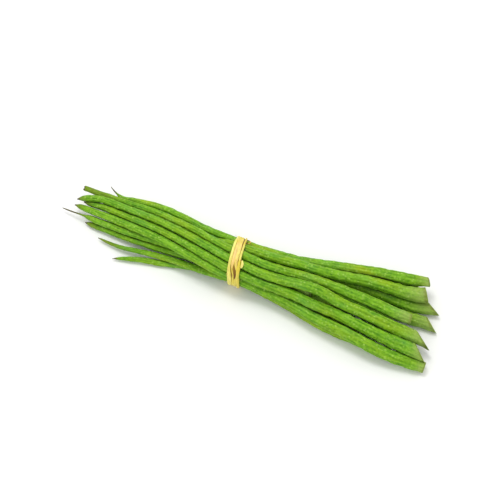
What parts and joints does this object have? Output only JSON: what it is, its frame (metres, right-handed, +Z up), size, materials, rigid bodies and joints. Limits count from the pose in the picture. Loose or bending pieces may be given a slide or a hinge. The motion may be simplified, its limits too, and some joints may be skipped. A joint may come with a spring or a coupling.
{
  "type": "bunch of moringa pods",
  "caption": "Long slender ribbed green pods tied round the middle with a band of dry plant fibre, lying on a surface.",
  "frame": {"origin": "on the surface the bunch lies on, below the middle of its bounding box", "axes": "+X along the bunch towards the cut ends, +Y across it to the far side, +Z up"},
  "size_m": [0.4056, 0.0998, 0.047],
  "materials": {
    "pod_skin": "fresh green skin with fine ribs, semi-matt",
    "tie_fibre": "dry straw-yellow plant fibre, matt"
  },
  "bodies": {
    "root": {"pod_01": "pod_skin", "pod_02": "pod_skin", "pod_03": "pod_skin", "pod_04": "pod_skin", "pod_05": "pod_skin", "pod_06": "pod_skin", "pod_07": "pod_skin", "pod_08": "pod_skin", "pod_09": "pod_skin", "pod_10": "pod_skin", "pod_11": "pod_skin", "pod_12": "pod_skin", "pod_13": "pod_skin", "pod_14": "pod_skin", "pod_15": "pod_skin", "pod_16": "pod_skin", "fibre_tie": "tie_fibre"}
  },
  "joints": []
}
